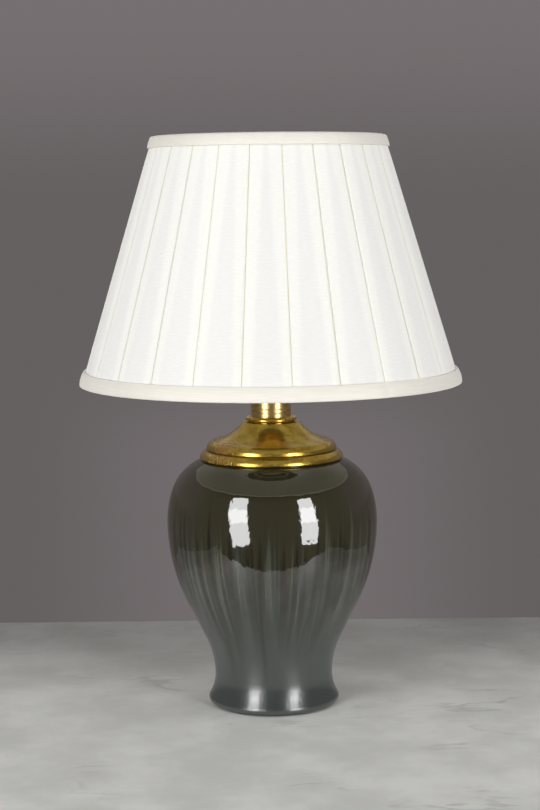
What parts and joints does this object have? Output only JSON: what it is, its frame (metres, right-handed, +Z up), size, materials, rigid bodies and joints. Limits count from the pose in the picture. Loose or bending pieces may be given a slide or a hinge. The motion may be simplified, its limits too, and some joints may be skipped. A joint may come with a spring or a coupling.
{
  "type": "table lamp",
  "caption": "Ginger jar table lamp: glazed jar on a flared foot, gilded cap, short brass neck and a box-pleated empire shade on a tilting fitting.",
  "frame": {"origin": "on the table under the middle of the foot", "axes": "+Z up along the tie rod, +Y to the back where the cable leaves, +X to the right of someone facing the lamp"},
  "size_m": [0.4024, 0.4023, 0.6025],
  "materials": {
    "glaze": "dark grey-green running glaze, high gloss",
    "gilt": "aged gold leaf, rubbed and scratched",
    "neck_brass": "bright lacquered",
    "holder_brass": "lacquered",
    "carrier_brass": "brass plated wire",
    "zinc_steel": "zinc plated",
    "rubber": "moulded",
    "felt": "pressed felt",
    "plug_wood": "turned, unfinished",
    "insulator": "pressed porcelain",
    "black_plastic": "moulded",
    "solder": "tinned",
    "black_glass": "opaque fused glass",
    "bulb_metal": "rolled thread",
    "bulb_glass": "pearl inside frosting",
    "filament": "tungsten",
    "frame_enamel": "ivory enamelled wire",
    "lining_cloth": "smooth lining, stretched",
    "pleated_silk": "ivory silk in flat box pleats",
    "binding_silk": "bias binding, folded over"
  },
  "bodies": {
    "lamp_base": {"jar_body": "glaze", "base_felt": "felt", "cable_bush": "rubber", "tie_rod": "zinc_steel", "rubber_washer": "rubber", "lower_washer": "zinc_steel", "lower_nut": "zinc_steel", "centring_plug": "plug_wood", "cap_washer": "zinc_steel", "cap_nut": "zinc_steel", "vase_cap": "gilt", "neck_collar": "neck_brass", "holder_cap": "holder_brass", "holder_skirt": "holder_brass", "holder_insulator": "insulator", "terminal_screws": "holder_brass", "screw_shell": "holder_brass", "contact_tongue": "holder_brass", "lower_shade_ring": "holder_brass", "upper_shade_ring": "holder_brass"},
    "push_bar": {"push_bar": "holder_brass", "push_bar_buttons": "black_plastic"},
    "bulb": {"bulb_contact": "solder", "bulb_bead": "black_glass", "bulb_cap": "bulb_metal", "bulb_glass": "bulb_glass", "bulb_stem": "bulb_glass", "bulb_filament": "filament"},
    "carrier": {"carrier_collar": "carrier_brass", "carrier_arm_left": "carrier_brass", "carrier_arm_right": "carrier_brass", "carrier_ring": "carrier_brass"},
    "fitting": {"seat_ring": "frame_enamel", "pivot_pins": "zinc_steel"},
    "shade": {"gimbal_ring": "frame_enamel", "drop_arms": "frame_enamel", "frame_top_hoop": "frame_enamel", "frame_bottom_hoop": "frame_enamel", "frame_struts": "frame_enamel", "shade_lining": "lining_cloth", "shade_pleats": "pleated_silk", "top_trim": "binding_silk", "bottom_trim": "binding_silk"}
  },
  "joints": [
    {"name": "bar_slide", "type": "slide", "parent": "lamp_base", "child": "push_bar", "axis": [1, 0, 0], "range_m": [0, 0.007]},
    {"name": "bulb_out", "type": "slide", "parent": "lamp_base", "child": "bulb", "axis": [0, 0, 1], "range_m": [0, 0.03]},
    {"name": "carrier_turn", "type": "hinge", "parent": "lamp_base", "child": "carrier", "pos_m": [0, 0, 0.3755], "axis": [0, 0, 1], "continuous": true},
    {"name": "shade_lift", "type": "slide", "parent": "carrier", "child": "fitting", "axis": [0, 0, 1], "range_m": [0, 0.15]},
    {"name": "shade_tilt", "type": "hinge", "parent": "fitting", "child": "shade", "pos_m": [0, 0, 0.5295], "axis": [0, 1, 0], "range_deg": [-15, 15]}
  ]
}
